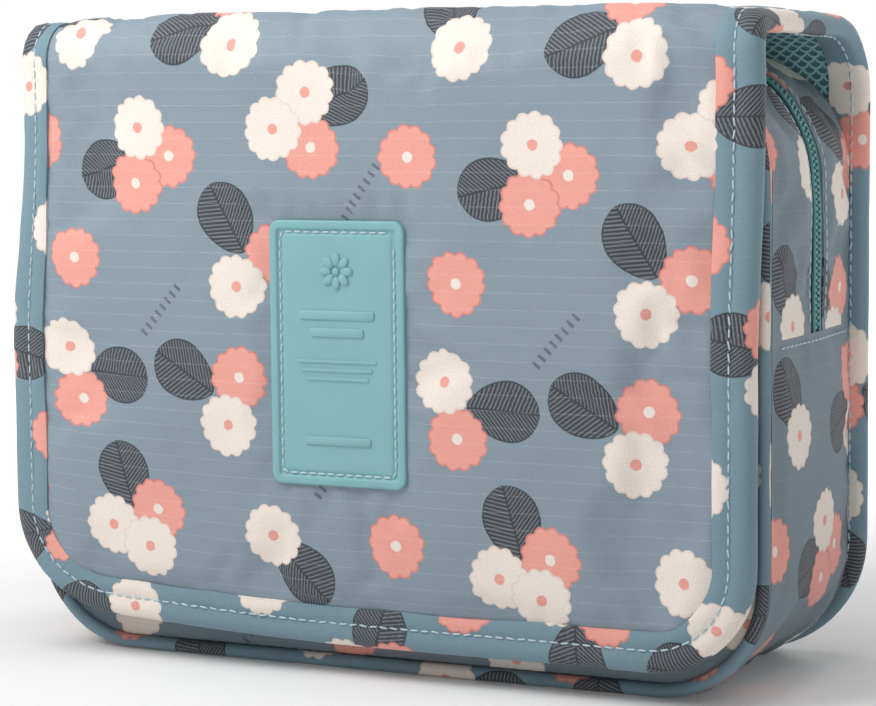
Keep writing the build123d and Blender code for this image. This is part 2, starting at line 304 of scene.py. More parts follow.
def fill_out(piece, rows_count, columns, pressure, cap, holds=None):
    """Cloth simulation of a shell's outer face, held at its rim, its inner face and where holds says.

    No point moves more than cap millimetres, and the move fades in over the first rows.
    """
    mesh = piece.data
    wide = columns + 1
    outer_count = wide * (rows_count + 1)
    start = [v.co.copy() for v in mesh.vertices]
    held = list(range(outer_count, len(start)))
    for i in range(rows_count + 1):
        for j in range(wide):
            at_rim = i in (0, rows_count) or j in (0, columns)
            if at_rim or (holds and holds(start[i * wide + j])):
                held.append(i * wide + j)
    pins = piece.vertex_groups.new(name="held")
    pins.add(held, 1.0, "REPLACE")
    cloth = piece.modifiers.new("cloth", "CLOTH")
    cloth.settings.vertex_group_mass = "held"
    cloth.settings.use_pressure = True
    cloth.settings.uniform_pressure_force = pressure
    cloth.settings.effector_weights.gravity = 0.0
    cloth.settings.shrink_min = -0.03
    cloth.settings.bending_stiffness = 0.8
    cloth.settings.quality = 4
    cloth.collision_settings.use_collision = False
    for frame_number in range(1, CLOTH_FRAMES + 1):
        bpy.context.scene.frame_set(frame_number)
    settled = piece.evaluated_get(bpy.context.evaluated_depsgraph_get())
    final = [v.co.copy() for v in settled.data.vertices]
    piece.modifiers.remove(cloth)
    piece.vertex_groups.remove(pins)
    bpy.context.scene.frame_set(1)
    for index in range(outer_count):
        row, column = divmod(index, wide)
        fade = min(row / 8, (rows_count - row) / 4, column / 3, (columns - column) / 3, 1.0)
        move = (final[index] - start[index]) * fade
        if move.length > cap * MM:
            move *= cap * MM / move.length
        place = start[index] + move
        place.z = max(place.z, 0.0)
        mesh.vertices[index].co = place


# ---------------------------------------------------------------- shader building

class Net:
    """Shorthand for wiring a node tree."""

    def __init__(self, tree):
        self.tree = tree

    def node(self, kind, **settings):
        made = self.tree.nodes.new(kind)
        for key, value in settings.items():
            setattr(made, key, value)
        return made

    def put(self, socket, value):
        if isinstance(value, bpy.types.NodeSocket):
            self.tree.links.new(value, socket)
        else:
            socket.default_value = value

    def math(self, operation, a, b=0.0, c=0.0, clamp=False):
        made = self.node("ShaderNodeMath", operation=operation, use_clamp=clamp)
        for socket, value in zip(made.inputs, (a, b, c)):
            self.put(socket, value)
        return made.outputs[0]

    def plus(self, a, b):
        return self.math("ADD", a, b)

    def minus(self, a, b):
        return self.math("SUBTRACT", a, b)

    def times(self, a, b):
        return self.math("MULTIPLY", a, b)

    def over(self, a, b):
        return self.math("DIVIDE", a, b)

    def size(self, a):
        return self.math("ABSOLUTE", a)

    def reach(self, x, y):
        """How far (x, y) lies from (0, 0)."""
        return self.math("SQRT", self.plus(self.times(x, x), self.times(y, y)))

    def vector(self, operation, a, b=None):
        made = self.node("ShaderNodeVectorMath", operation=operation)
        for socket, value in zip(made.inputs, (a, b)):
            if value is not None:
                self.put(socket, value)
        return made.outputs[1] if operation == "LENGTH" else made.outputs[0]

    def mix(self, factor, a, b, blend="MIX"):
        made = self.node("ShaderNodeMix", data_type="RGBA", blend_type=blend)
        self.put(made.inputs[0], factor)
        self.put(made.inputs[6], a)
        self.put(made.inputs[7], b)
        return made.outputs[2]

    def step(self, value, at, soft):
        """1 where value is well over at, 0 well under, and a soft edge between."""
        return self.math("MULTIPLY_ADD", self.math("SUBTRACT", value, at), 1 / soft, 0.5, clamp=True)

    def split(self, vector):
        made = self.node("ShaderNodeSeparateXYZ")
        self.put(made.inputs[0], vector)
        return made.outputs[0], made.outputs[1]

    def noise(self, vector, scale, detail=2.0):
        made = self.node("ShaderNodeTexNoise")
        self.put(made.inputs["Vector"], vector)
        made.inputs["Scale"].default_value = scale
        made.inputs["Detail"].default_value = detail
        return made.outputs[0]


def group(name, inputs):
    """A new node group that gives a colour: its tree, its Net, and its input and output nodes."""
    tree = bpy.data.node_groups.new(name, "ShaderNodeTree")
    for label, kind in inputs:
        tree.interface.new_socket(label, in_out="INPUT", socket_type=kind)
    tree.interface.new_socket("Colour", in_out="OUTPUT", socket_type="NodeSocketColor")
    net = Net(tree)
    return tree, net, net.node("NodeGroupInput"), net.node("NodeGroupOutput")


def tile_offset(net, place, centre):
    """The vector in millimetres from the nearest repeat of a motif's centre."""
    made = net.node("ShaderNodeVectorMath", operation="WRAP")
    net.put(made.inputs[0], net.vector("SUBTRACT", place, centre))
    made.inputs[1].default_value = (TILE_W / 2, TILE_H / 2, 1.0)
    made.inputs[2].default_value = (-TILE_W / 2, -TILE_H / 2, -1.0)
    return made.outputs[0]


MOTIF_INPUTS = [("Place", "NodeSocketVector"), ("Centre", "NodeSocketVector"),
                ("Turn", "NodeSocketFloat"), ("Under", "NodeSocketColor")]


def turned_offset(net, given):
    """How far a place lies along and across a motif's own direction."""
    x, y = net.split(tile_offset(net, given.outputs["Place"], given.outputs["Centre"]))
    cosine = net.math("COSINE", given.outputs["Turn"])
    sine = net.math("SINE", given.outputs["Turn"])
    along = net.plus(net.times(x, cosine), net.times(y, sine))
    across = net.minus(net.times(y, cosine), net.times(x, sine))
    return along, across


def flower_group():
    """A flower with scalloped petals and a dot, laid over what is under it."""
    inputs = MOTIF_INPUTS + [(label, "NodeSocketColor") for label in ("Petal", "Edge", "Dot")]
    tree, net, given, result = group("flower", inputs)
    offset = tile_offset(net, given.outputs["Place"], given.outputs["Centre"])
    x, y = net.split(offset)
    reach = net.reach(x, y)
    angle = net.plus(net.math("ARCTAN2", y, x), given.outputs["Turn"])
    wave = net.size(net.math("SINE", net.times(angle, SCALLOPS / 2)))
    uneven = net.times(net.math("SINE", net.times(angle, 3.0)), 0.22)
    radius = net.plus(net.math("MULTIPLY_ADD", wave, 0.95, PETAL_R), uneven)
    inside = net.minus(radius, reach)
    rim = net.step(inside, 0.55, 0.5)
    petal = net.mix(rim, given.outputs["Edge"], given.outputs["Petal"])
    dot = net.step(net.minus(DOT_R, reach), 0.0, 0.3)
    petal = net.mix(dot, petal, given.outputs["Dot"])
    net.put(result.inputs[0], net.mix(net.step(inside, 0.0, 0.3), given.outputs["Under"], petal))
    return tree


def leaf_group():
    """An egg-shaped leaf with an outline, a midrib and slanting hatch."""
    tree, net, given, result = group("leaf", MOTIF_INPUTS)
    along, signed = turned_offset(net, given)
    across = net.size(signed)
    t = net.over(along, LEAF_HALF)
    round_part = net.math("MAXIMUM", net.minus(1.0, net.times(t, t)), 0.0)
    width = net.times(net.math("POWER", round_part, 0.56),
                     net.math("MULTIPLY_ADD", t, 1.6, 8.9))
    inside = net.minus(net.minus(width, across), 0.3)
    slope = net.math("MULTIPLY_ADD", net.math("SIGN", signed), 0.2, -0.62)
    hatch = net.math("FRACT", net.over(net.math("MULTIPLY_ADD", across, slope, along), HATCH_PITCH))
    line = net.step(net.size(net.minus(hatch, 0.5)), 0.2, 0.14)
    rib = net.step(net.minus(0.3, across), 0.0, 0.2)
    outline = net.step(net.minus(0.5, inside), 0.0, 0.25)
    dark = net.math("MAXIMUM", net.math("MAXIMUM", line, rib), outline)
    fill = net.mix(dark, LEAF, LEAF_LINE)
    net.put(result.inputs[0], net.mix(net.step(inside, 0.0, 0.3), given.outputs["Under"], fill))
    return tree


def ticks_group():
    """A slanting row of small plain dashes."""
    tree, net, given, result = group("ticks", MOTIF_INPUTS)
    along, across = turned_offset(net, given)
    length = net.step(net.minus(TICK_ROW_HALF, net.size(along)), 0.0, 0.2)
    height = net.step(net.minus(TICK_HALF, net.size(across)), 0.0, 0.2)
    beat = net.size(net.minus(net.math("FRACT", net.over(along, TICK_PITCH)), 0.5))
    bar = net.step(net.minus(0.17, beat), 0.0, 0.1)
    mask = net.times(net.times(net.times(length, height), bar), 0.6)
    net.put(result.inputs[0], net.mix(mask, given.outputs["Under"], LEAF_LINE))
    return tree


def print_group():
    """The whole printed pattern over a ground colour, with its ripstop lines."""
    inputs = [("Place", "NodeSocketVector"), ("Ground", "NodeSocketColor"),
              ("Ripstop", "NodeSocketFloat")]
    tree, net, given, result = group("printed_pattern", inputs)
    flower, leaf, ticks = flower_group(), leaf_group(), ticks_group()
    x, y = net.split(given.outputs["Place"])
    level = net.node("ShaderNodeCombineXYZ")
    net.put(level.inputs[0], x)
    net.put(level.inputs[1], net.math("MULTIPLY_ADD", x, TILE_SLANT, y))
    place = level.outputs[0]
    wobble = net.noise(given.outputs["Place"], 0.9, 1.0)
    shift = net.node("ShaderNodeCombineXYZ")
    net.put(shift.inputs[0], net.math("MULTIPLY_ADD", wobble, 0.5, -0.25))
    place = net.vector("ADD", place, shift.outputs[0])
    colour = given.outputs["Ground"]

    def motif(kind, x0, y0, turn, **colours):
        made = net.node("ShaderNodeGroup", node_tree=kind)
        net.put(made.inputs["Place"], place)
        made.inputs["Centre"].default_value = (x0, y0 + x0 * TILE_SLANT, 0.0)
        made.inputs["Turn"].default_value = turn
        for label, value in colours.items():
            made.inputs[label].default_value = value
        net.put(made.inputs["Under"], colour)
        return made.outputs[0]

    for x0, y0, degrees in TICKS_AT:
        colour = motif(ticks, x0, y0, math.radians(degrees))
    creams, pinks, leaves = posy_motifs()
    for x0, y0, degrees in leaves:
        colour = motif(leaf, x0, y0, math.radians(degrees))
    for i, (x0, y0) in enumerate(pinks):
        colour = motif(flower, x0, y0, i * 0.7, Petal=PINK, Edge=PINK_EDGE, Dot=CREAM)
    for i, (x0, y0) in enumerate(creams):
        colour = motif(flower, x0, y0, i * 0.9, Petal=CREAM, Edge=CREAM_EDGE, Dot=PINK)
    rows = net.size(net.minus(net.math("FRACT", net.over(y, RIPSTOP_PITCH)), 0.5))
    broken = net.step(net.noise(given.outputs["Place"], 0.35, 3.0), 0.42, 0.25)
    line = net.times(net.step(rows, 0.47, 0.02), broken)
    colour = net.mix(net.times(line, given.outputs["Ripstop"]), colour, srgb(236, 242, 246))
    net.put(result.inputs[0], colour)
    return tree


PRINT = print_group()


def new_material(name, rough, sheen=0.0, on_object=False):
    """A material with its Net, its shader and its coordinates in millimetres.

    They come from the piece's print map, or from the object's own axes with on_object.
    """
    material = bpy.data.materials.new(name)
    material.use_nodes = True
    net = Net(material.node_tree)
    shader = material.node_tree.nodes["Principled BSDF"]
    shader.inputs["Roughness"].default_value = rough
    if sheen > 0:
        shader.inputs["Sheen Weight"].default_value = sheen
        shader.inputs["Sheen Roughness"].default_value = 0.45
    if on_object:
        where = net.node("ShaderNodeTexCoord").outputs["Object"]
    else:
        where = net.node("ShaderNodeUVMap", uv_map="print").outputs[0]
    place = net.vector("SCALE", where)
    place.node.inputs["Scale"].default_value = 1 / MM
    return material, net, shader, place


def weave(net, place, size):
    """The height of a plain weave: threads over and under in both directions."""
    x, y = net.split(place)
    turn = 2 * math.pi / size
    across = net.math("SINE", net.times(x, turn))
    along = net.math("SINE", net.times(y, turn))
    return net.math("MULTIPLY_ADD", net.times(across, along), 0.5, 0.5)


def add_bump(net, shader, height, distance, strength):
    """Raises the surface by a height from 0 to 1, times a distance in millimetres."""
    bump = net.node("ShaderNodeBump")
    bump.inputs["Distance"].default_value = distance * MM
    bump.inputs["Strength"].default_value = strength
    net.put(bump.inputs["Height"], height)
    net.put(shader.inputs["Normal"], bump.outputs[0])


def worn(net, colour, place, amount, scale=0.02):
    """Slow lighter and darker patches, as cloth and rubber have."""
    patch = net.noise(place, scale, 4.0)
    lift = net.math("MULTIPLY_ADD", net.minus(patch, 0.5), amount, 1.0)
    tint = net.node("ShaderNodeCombineColor")
    for socket in tint.inputs[:3]:
        net.put(socket, lift)
    return net.mix(1.0, colour, tint.outputs[0], "MULTIPLY")


def printed_cloth(name, ground, ripstop):
    """Printed woven cloth on a ground colour; ripstop is how strongly its pale lines show."""
    material, net, shader, place = new_material(name, 0.72, 0.08)
    pattern = net.node("ShaderNodeGroup", node_tree=PRINT)
    net.put(pattern.inputs["Place"], place)
    pattern.inputs["Ground"].default_value = ground
    pattern.inputs["Ripstop"].default_value = ripstop
    threads = weave(net, place, 0.55)
    colour = worn(net, pattern.outputs[0], place, 0.16)
    colour = worn(net, colour, place, 0.34, 1.7)
    colour = net.mix(net.times(threads, 0.09), colour, srgb(235, 240, 244))
    net.put(shader.inputs["Base Color"], colour)
    grain = net.noise(place, 1.2, 3.0)
    height = net.plus(net.times(threads, 0.6), net.times(grain, 0.4))
    add_bump(net, shader, height, 0.12, 0.5)
    return material


def lining_cloth():
    """Teal lining with rows of overlapping scales."""
    material, net, shader, place = new_material("lining_cloth", 0.66, 0.2)
    x, y = net.split(place)
    row = net.math("FLOOR", net.over(y, SCALE_H))
    odd = net.times(net.math("MODULO", row, 2.0), SCALE_W / 2)
    part_x = net.math("FRACT", net.over(net.plus(x, odd), SCALE_W))
    local_x = net.minus(net.times(part_x, SCALE_W), SCALE_W / 2)
    local_y = net.times(net.math("FRACT", net.over(y, SCALE_H)), SCALE_H)
    reach = net.reach(local_x, local_y)
    ring = net.size(net.minus(reach, 1.75))
    line = net.step(net.minus(0.3, ring), 0.0, 0.25)
    colour = net.mix(line, LINING, srgb(150, 196, 196))
    dark = net.step(net.minus(1.0, reach), 0.0, 0.8)
    colour = net.mix(net.times(dark, 0.35), colour, srgb(34, 66, 76))
    net.put(shader.inputs["Base Color"], worn(net, colour, place, 0.2))
    add_bump(net, shader, net.plus(line, net.times(weave(net, place, 0.6), 0.3)), 0.2, 0.5)
    return material


def plain_cloth(name, colour, thread=0.6, rough=0.8, ribs=0.0):
    """Plain woven tape or thread; ribs adds ridges across it."""
    material, net, shader, place = new_material(name, rough, 0.2)
    threads = weave(net, place, thread)
    tone = worn(net, colour, place, 0.2, 0.05)
    net.put(shader.inputs["Base Color"], net.mix(net.times(threads, 0.18), tone,
                                                 srgb(225, 235, 238)))
    height = threads
    if ribs > 0:
        y = net.split(place)[1]
        ridge = net.math("SINE", net.times(y, 2 * math.pi / ribs))
        height = net.plus(net.times(ridge, 0.6), threads)
    add_bump(net, shader, height, 0.15, 0.6)
    return material


def solid(name, colour, rough, grain, metal=0.0, coat=0.0):
    """Moulded plastic, rubber, board or painted metal, with a fine grain."""
    material, net, shader, place = new_material(name, rough, on_object=True)
    shader.inputs["Metallic"].default_value = metal
    shader.inputs["Coat Weight"].default_value = coat
    net.put(shader.inputs["Base Color"], worn(net, colour, place, 0.14, 0.08))
    speck = net.noise(place, grain, 4.0)
    net.put(shader.inputs["Roughness"], net.math("MULTIPLY_ADD", speck, 0.2, rough - 0.1))
    add_bump(net, shader, speck, 0.06, 0.35)
    return material


def pile_cloth(name, colour):
    """Hook-and-loop tape: a dense uneven pile."""
    material, net, shader, place = new_material(name, 0.9, 0.4, True)
    pile = net.noise(place, 2.6, 4.0)
    net.put(shader.inputs["Base Color"], net.mix(pile, colour, srgb(150, 170, 180)))
    add_bump(net, shader, pile, 0.7, 0.9)
    return material


def woven_solid(name, colour, size):
    """Cloth on a piece with no print map, woven across X and Z."""
    material, net, shader, place = new_material(name, 0.85, 0.2, True)
    made = net.node("ShaderNodeSeparateXYZ")
    net.put(made.inputs[0], place)
    flat = net.node("ShaderNodeCombineXYZ")
    net.put(flat.inputs[0], made.outputs[0])
    net.put(flat.inputs[1], made.outputs[2])
    threads = weave(net, flat.outputs[0], size)
    tone = worn(net, colour, place, 0.15, 0.05)
    net.put(shader.inputs["Base Color"], net.mix(net.times(threads, 0.3), tone,
                                                 srgb(215, 228, 232)))
    add_bump(net, shader, threads, 0.25, 0.7)
    return material


def net_cloth():
    """Open net: light threads round holes painted dark, the lining behind them in painted shade."""
    material, net, shader, place = new_material("net_cloth", 0.75, 0.2)
    cells = net.node("ShaderNodeTexVoronoi", feature="DISTANCE_TO_EDGE")
    net.put(cells.inputs["Vector"], place)
    cells.inputs["Scale"].default_value = 0.45
    cells.inputs["Randomness"].default_value = 0.25
    thread = net.step(net.minus(0.12, cells.outputs[0]), 0.0, 0.06)
    # The holes' dark teal is painted shade of the lining seen through the net.
    net.put(shader.inputs["Base Color"], net.mix(thread, srgb(26, 52, 60), srgb(108, 160, 164)))
    add_bump(net, shader, thread, 0.5, 0.9)
    return material


CLOTH_MAT = printed_cloth("printed_cloth", CLOTH, 0.1)
BINDING_MAT = printed_cloth("printed_binding", CLOTH_TEAL, 0.03)
# The gusset and the body's faces take the cover's printed cloth with a darker ground: painted shade.
GUSSET_PAINTED_SHADE_MAT = printed_cloth("printed_gusset_painted_shade", srgb(106, 123, 133), 0.05)
LINING_MAT = lining_cloth()
THREAD_MAT = plain_cloth("stitch_thread", THREAD, 0.5, 0.6)
ZIP_MAT = plain_cloth("zip_tape_cloth", ZIP_TEAL, 0.5, 0.85, 1.1)
WEB_MAT = woven_solid("webbing_cloth", srgb(92, 120, 134), 1.1)
ELASTIC_MAT = woven_solid("elastic_cloth", srgb(74, 104, 114), 0.9)
NET_MAT = net_cloth()
COIL_MAT = solid("coil_nylon", COIL_TEAL, 0.42, 3.0)
METAL_MAT = solid("painted_zinc", srgb(86, 116, 122), 0.34, 1.2, 0.35, 0.4)
HOOK_MAT = solid("hook_nylon", srgb(62, 84, 94), 0.36, 1.6, 0.0, 0.2)
RUBBER_MAT = solid("patch_rubber", RUBBER, 0.55, 1.4)
BOARD_MAT = solid("base_board", srgb(200, 200, 194), 0.7, 0.9)
PILE_MAT = pile_cloth("hook_loop_pile", srgb(66, 92, 104))


# ---------------------------------------------------------------- the padded sheet

def half_width(s):
    """Half the sheet's width at a length along it."""
    return cover_half + (back_half - cover_half) * smooth(s, run_fold, run_rear)


def sheet_line(s):
    """The middle line of the sheet: (y, z) and its outward direction."""
    if s <= run_cover:
        return cover_y, cover_edge_z + s, -1.0, 0.0
    if s <= run_fold:
        turn = (s - run_cover) / FRONT_FOLD
        return (cover_y + FRONT_FOLD - FRONT_FOLD * math.cos(turn),
                FLAT_TOP - FRONT_FOLD + FRONT_FOLD * math.sin(turn), -math.cos(turn), math.sin(turn))
    if s <= run_top:
        return cover_y + FRONT_FOLD + s - run_fold, FLAT_TOP, 0.0, 1.0
    if s <= run_rear:
        turn = (s - run_top) / REAR_FOLD
        return (back_y - REAR_FOLD + REAR_FOLD * math.sin(turn),
                FLAT_TOP - REAR_FOLD + REAR_FOLD * math.cos(turn), math.sin(turn), math.cos(turn))
    return back_y, FLAT_TOP - REAR_FOLD - (s - run_rear), 1.0, 0.0


def across_arch(x):
    """1 in the middle of the sheet's width, falling to about 0 at its sides."""
    return 1 - (x / 120.0) ** 2


def sheet_point(x, s, n):
    """A point on the sheet: x across, s along, n out from its middle."""
    y, z, out_y, out_z = sheet_line(s)
    side = max(abs(x) - 70.0, 0.0) / 50.0
    tip = max(abs(x) - 96.0, 0.0) / 25.0
    droop = 1.8 * tip * tip * smooth(z, 140.0, FLAT_TOP)
    on_top = smooth(s, run_fold - 6, run_fold + 20) * smooth(run_top - s, -6, 20)
    on_cover = smooth(s, 10, 70) * smooth(run_cover - s, 0, 60)
    sag = 1.2 * across_arch(x) * on_top
    belly = 1.6 * across_arch(x) * on_cover
    curl = 1.2 * side * smooth(s, 90, 0) * ripple(x, s, 3.0, 45.0)
    wave = 0.5 * ripple(x, s, 1.0, 38.0)
    n = n + belly + wave + curl
    shift_x, shift_y, shift_z = cover_slump(x, z, smooth(run_fold - s, -10, 20))
    return (x + shift_x, y + out_y * n + shift_y, max(z + out_z * n - droop - sag + shift_z, 0.3))


def cover_slump(x, z, front):
    """How the hanging cover leaves the flat: its edges bend back and its lower left corner lifts."""
    left = max(-95.0 - x, 0.0) / 22
    right = max(x - 95.0, 0.0) / 22
    low = smooth(150.0 - z, -10, 60)
    lift = min(max((-10.0 - x) / 107, 0.0), 1.1) ** 1.5 * smooth(110.0 - z, 0, 90)
    shift_x = left * (1.5 - 6.0 * low) + right * (2.0 - 2.0 * low)
    shift_y = 3.5 * left * left + 1.5 * right * right
    return shift_x * front, shift_y * front, 5.5 * lift * front


def edge_frames(first, last, corner, step=3.0):
    """Centres, directions and radii down one side, round the free end and up the other side.

    A point at some inset from the edge is centre + direction * (radius - inset). first is the
    length along the sheet where the sides begin, last is the free end's length.
    """
    frames = []
    sign = 1 if last > first else -1
    straight = abs(last - first) - corner
    count = int(straight / step)
    for i in range(count + 1):
        s = first + sign * straight * i / count
        frames.append((half_width(s) - corner, s, 1.0, 0.0))
    end_half = half_width(last)
    centre_s = last - sign * corner
    turns = 16
    for i in range(1, turns + 1):
        angle = math.pi / 2 * i / turns
        frames.append((end_half - corner, centre_s, math.cos(angle), sign * math.sin(angle)))
    half = end_half - corner
    across = int(2 * half / step)
    for i in range(1, across):
        frames.append((half - 2 * half * i / across, centre_s, 0.0, float(sign)))
    mirrored = [(-cx, cs, -dx, ds) for cx, cs, dx, ds in frames[:count + 1 + turns]]
    return frames + mirrored[::-1]


def frame_at(frame_row, corner, inset):
    cx, cs, dx, ds = frame_row
    return cx + dx * (corner - inset), cs + ds * (corner - inset)


def path_lengths(frames, corner, inset):
    """How far along the edge each frame lies at an inset."""
    points = [Vector(frame_at(f, corner, inset)) for f in frames]
    total, out = 0.0, [0.0]
    for a, b in zip(points, points[1:]):
        total += (b - a).length
        out.append(total)
    return out


BINDING_PROFILE = [(BIND_W, 1.5), (BIND_W - 0.1, 2.7), (BIND_W - 1.5, 3.1), (8.6, 3.25), (7.3, 3.0),
                   (STITCH_INSET, 2.75), (5.9, 3.0), (4.2, 3.4), (2.2, 3.2), (0.8, 2.4), (0.0, 0.9),
                   (0.0, -0.9), (0.8, -2.4), (2.2, -3.0), (4.2, -3.1), (8.6, -2.9),
                   (BIND_W - 0.1, -2.5), (BIND_W, -1.3)]


def binding(name, frames, corner, print_shift):
    """The folded tape round the sheet's edge, pulled in a little at each stitch."""
    build = Build()
    lengths = path_lengths(frames, corner, 0.0)
    rings, marks = [], []
    for frame_row, length in zip(frames, lengths):
        ring, row = [], []
        reach = 0.0
        for j, (inset, n) in enumerate(BINDING_PROFILE):
            wander = 0.6 * ripple(length, 7.0, 0.0, 18.0) if inset > BIND_W - 2 else 0.0
            pucker = 0.32 * ripple(length, inset, 4.0, 7.0)
            x, s = frame_at(frame_row, corner, inset + wander)
            ring.append(sheet_point(x, s, n + pucker * (1 if n > 0 else -1)))
            if j:
                before = BINDING_PROFILE[j - 1]
                reach += math.dist(before, (inset, n))
            row.append((print_shift[0] + reach, print_shift[1] + length))
        rings.append(ring)
        marks.append(row)
    build.sweep(rings, marks)
    return build.make(name, [BINDING_MAT])


def walk(lengths, pitch, part):
    """Where each stitch starts and ends, as lengths along a path."""
    out = []
    at = pitch
    while at + pitch * part < lengths[-1] - pitch:
        out.append((at, at + pitch * part))
        at += pitch
    return out


def along(lengths, points, at):
    """The point at a length along a list of points."""
    for i in range(1, len(lengths)):
        if lengths[i] >= at:
            span = lengths[i] - lengths[i - 1]
            t = (at - lengths[i - 1]) / span if span > 0 else 0.0
            return points[i - 1].lerp(points[i], t)
    return points[-1]


def stitches(name, points, outs, pitch=STITCH_PITCH, part=0.74, radius=0.3, jitter=0.4):
    """Separate stitches along a line of 3-D points; outs are the outward directions there."""
    build = Build()
    points = [Vector(p) for p in points]
    outs = [Vector(o).normalized() for o in outs]
    lengths = [0.0]
    for a, b in zip(points, points[1:]):
        lengths.append(lengths[-1] + (b - a).length)
    for i, (start, end) in enumerate(walk(lengths, pitch, part)):
        a, b = along(lengths, points, start), along(lengths, points, end)
        out = along(lengths, outs, (start + end) / 2).normalized()
        run = (b - a).normalized()
        side = run.cross(out).normalized()
        slip = side * jitter * ripple(i * 3.1, 0.0, 9.0, 2.0)
        build.rod(a + slip, b - slip, side, out, radius)
    return build.make(name, [THREAD_MAT])


def edge_stitches(name, frames, corner, n, inset=STITCH_INSET):
    """The line of stitches that holds the binding tape."""
    points, outs = [], []
    for frame_row in frames:
        x, s = frame_at(frame_row, corner, inset)
        p = Vector(sheet_point(x, s, n))
        q = Vector(sheet_point(x, s, n + (1.0 if n > 0 else -1.0)))
        points.append(p)
        outs.append(q - p)
    return stitches(name, points, outs)


def sheet_panel(name, first, last, corner, rows_count, columns):
    """The padded panel between the bindings: printed outside, lined inside."""
    sign = 1 if last > first else -1
    end = last - sign * PANEL_INSET
    radius = corner - PANEL_INSET

    def place(i, j):
        s = first + (end - first) * i / rows_count
        half = half_width(s) - PANEL_INSET
        depth = corner - abs(last - s)
        if depth > 0:
            half = half_width(s) - corner + math.sqrt(max(radius * radius - depth * depth, 0.0))
        x = half * (2 * j / columns - 1)
        edge = min(half - abs(x), abs(end - s))
        puff = 1.5 * (1 - math.exp(-edge / 9.0))
        crumple = 0.35 * ripple(x, s, 5.0, 14.0) + 0.18 * ripple(x, s, 8.0, 6.0)
        lift = 1.5 + puff + crumple * smooth(edge, 0, 8)
        over = sheet_point(x, s, lift)
        under = sheet_point(x, s, -1.7 - 0.5 * puff - 0.4 * crumple)
        return over, under, (x - PRINT_SHIFT, cover_edge_z + s)

    build = Build()
    build.layers(rows_count, columns, place, (0, 1, 0))
    return build.make(name, [CLOTH_MAT, LINING_MAT])


def under_patch(point):
    """Whether a point of the cover lies under the rubber patch."""
    in_x = label_low[0] - 1 < point.x / MM < label_high[0] + 1
    in_z = label_low[2] - 1 < point.z / MM < label_high[2] + 1
    return in_x and in_z and point.y / MM < cover_y + FRONT_FOLD


def padded_sheet():
    """The cover, top and back in two pieces that meet in the middle of the top."""
    front = sheet_panel("cover_padded_panel", run_split, 0.0, COVER_CORNER, *SHEET_GRID)
    fill_out(front, *SHEET_GRID, 3.0, 1.6, under_patch)
    rear = sheet_panel("back_padded_panel", run_split, run_all, BACK_CORNER, *SHEET_GRID)
    fill_out(rear, *SHEET_GRID, 3.0, 1.6)
    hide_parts("cover_panel", "cover_foam", "cover_lining", "front_fold_roll")
    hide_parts("back_panel", "back_foam", "rear_fold_roll", "spine_panel", "spine_foam",
                "spine_lining")
    front_frames = edge_frames(run_split, 0.0, COVER_CORNER)
    rear_frames = edge_frames(run_split, run_all, BACK_CORNER)
    front_tape = binding("cover_edge_tape", front_frames, COVER_CORNER, (33.0, 21.0))
    rear_tape = binding("back_edge_tape", rear_frames, BACK_CORNER, (60.0, 121.0))
    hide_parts("cover_binding", "spine_binding")
    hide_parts("back_binding")
    front_line = edge_stitches("cover_edge_stitches", front_frames, COVER_CORNER, 3.0)
    rear_line = edge_stitches("back_edge_stitches", rear_frames, BACK_CORNER, 3.0)
    inner_line = edge_stitches("cover_inner_stitches", front_frames, COVER_CORNER, -3.1)
    rear_inner = edge_stitches("back_inner_stitches", rear_frames, BACK_CORNER, -3.2, 4.4)
    for piece in (front, front_tape, front_line, inner_line):
        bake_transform(piece)
    for piece in (rear, rear_tape, rear_line, rear_inner):
        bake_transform(piece)


# ---------------------------------------------------------------- the body

RUN_FLAT = body_half - BODY_CORNER
RUN_ARC = BODY_CORNER * math.pi / 2
RUN_SIDE = body_top - 2 * BODY_CORNER
RUN_ROUND = 4 * RUN_FLAT + 4 * RUN_ARC + 2 * RUN_SIDE
RUN_SPLIT = RUN_FLAT + RUN_ARC + split_z - BODY_CORNER


def body_outline(t, inset):
    """A point of the body's outline, t along it from the middle of the base towards +X."""
    if t < 0 or t > RUN_ROUND / 2:
        x, z, out_x, out_z = body_outline(-t if t < 0 else RUN_ROUND - t, inset)
        return -x, z, -out_x, out_z
    reach = BODY_CORNER - inset
    high = body_top - BODY_CORNER
    if t <= RUN_FLAT:
        return t, inset, 0.0, -1.0
    t -= RUN_FLAT
    if t <= RUN_ARC:
        a = t / BODY_CORNER
        out_x, out_z = math.sin(a), -math.cos(a)
        return RUN_FLAT + reach * out_x, BODY_CORNER + reach * out_z, out_x, out_z
    t -= RUN_ARC
    if t <= RUN_SIDE:
        return body_half - inset, BODY_CORNER + t, 1.0, 0.0
    t -= RUN_SIDE
    if t <= RUN_ARC:
        a = t / BODY_CORNER
        out_x, out_z = math.cos(a), math.sin(a)
        return RUN_FLAT + reach * out_x, high + reach * out_z, out_x, out_z
    return RUN_FLAT - (t - RUN_ARC), body_top - inset, 0.0, 1.0


def soft_inset(t, y):
    """How far the gusset swells out or dimples in at a place, as an inset."""
    front, back = FULL_SPAN
    z = body_outline(t, 0.0)[1]
    u = min(max((y - front) / (back - front), 0.0), 1.0)
    arch = math.sin(math.pi * u)
    swell = 1.3 * smooth(z, 12, 60) * smooth(170 - z, 0, 40)
    dent = 1.7 * smooth(z, 118, 160) * ripple(t, y, 2.0, 30.0)
    crease = 0.5 * ripple(t, y, 6.0, 13.0)
    lifted = smooth(z, 1.0, 14.0)
    return (dent + crease) * arch * lifted - swell * arch


